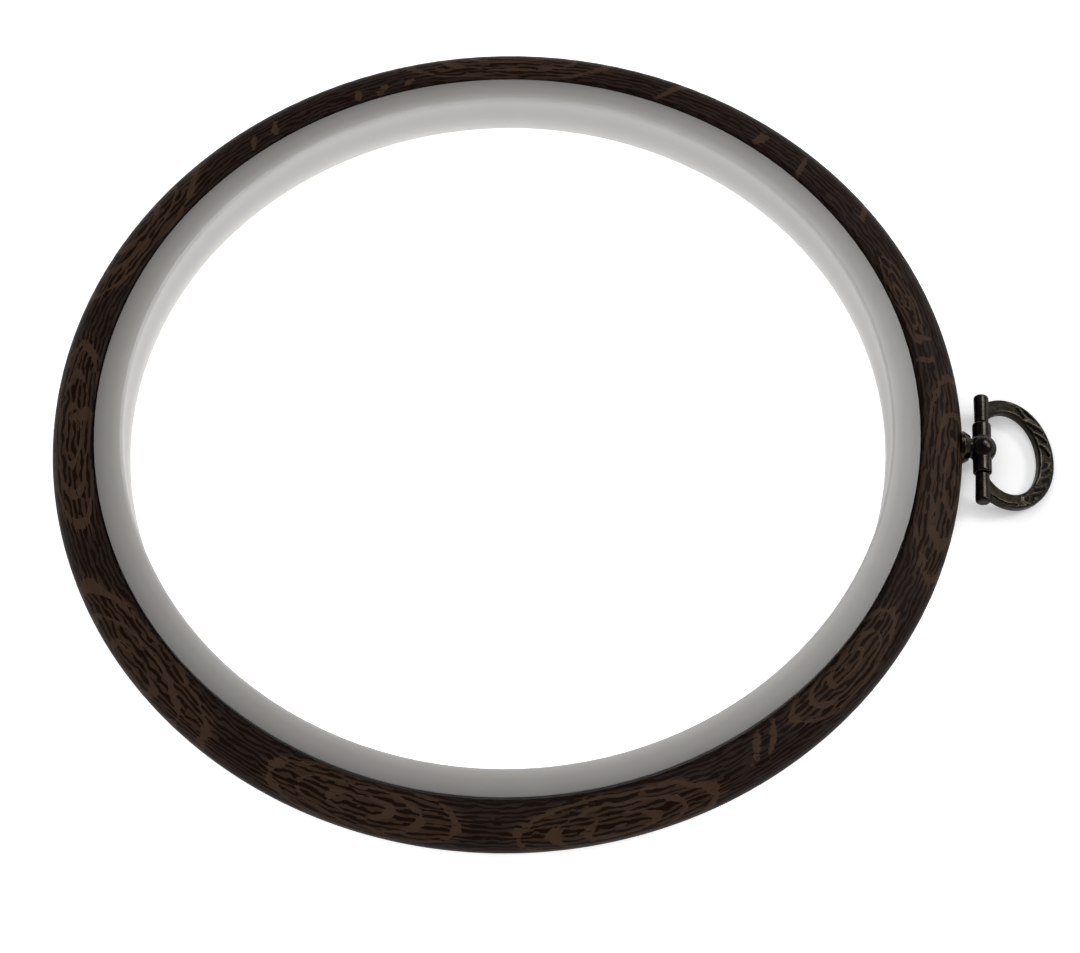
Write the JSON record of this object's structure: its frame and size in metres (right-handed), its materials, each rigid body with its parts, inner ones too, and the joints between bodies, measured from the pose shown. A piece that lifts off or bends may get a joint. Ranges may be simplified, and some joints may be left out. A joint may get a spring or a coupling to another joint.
{
  "type": "flexible embroidery hoop",
  "caption": "Round snap-together embroidery hoop with a rigid white inner ring, a half-round wood-grain flexible outer ring and a swinging D-shaped hanger.",
  "frame": {"origin": "axis of the rings, on the face that the hoop lies on (the back of the inner ring)", "axes": "+Z along the axis of the rings, out of the front; +X from the axis through the hanger"},
  "size_m": [0.2177, 0.197, 0.0109],
  "materials": {
    "white_plastic": "satin, slightly translucent",
    "wood_grain_vinyl": "satin dark wood-grain print",
    "antique_bronze": "dark antique, soft sheen",
    "screw_steel": "bright zinc"
  },
  "bodies": {
    "inner_ring": {"inner_ring": "white_plastic"},
    "outer_ring": {"outer_ring": "wood_grain_vinyl", "hanger_rosette": "antique_bronze", "hanger_stud": "antique_bronze", "hanger_pin": "antique_bronze", "fixing_screw": "screw_steel", "screw_washer": "screw_steel"},
    "hanger_bail": {"hanger_bail": "antique_bronze"}
  },
  "joints": [
    {"name": "outer_ring_lift", "type": "slide", "parent": "inner_ring", "child": "outer_ring", "axis": [0, 0, 1], "range_m": [0, 0.03]},
    {"name": "bail_swing", "type": "hinge", "parent": "outer_ring", "child": "hanger_bail", "pos_m": [0.1028, 0, 0.00605], "axis": [0, -1, 0], "range_deg": [-118, 153]}
  ]
}
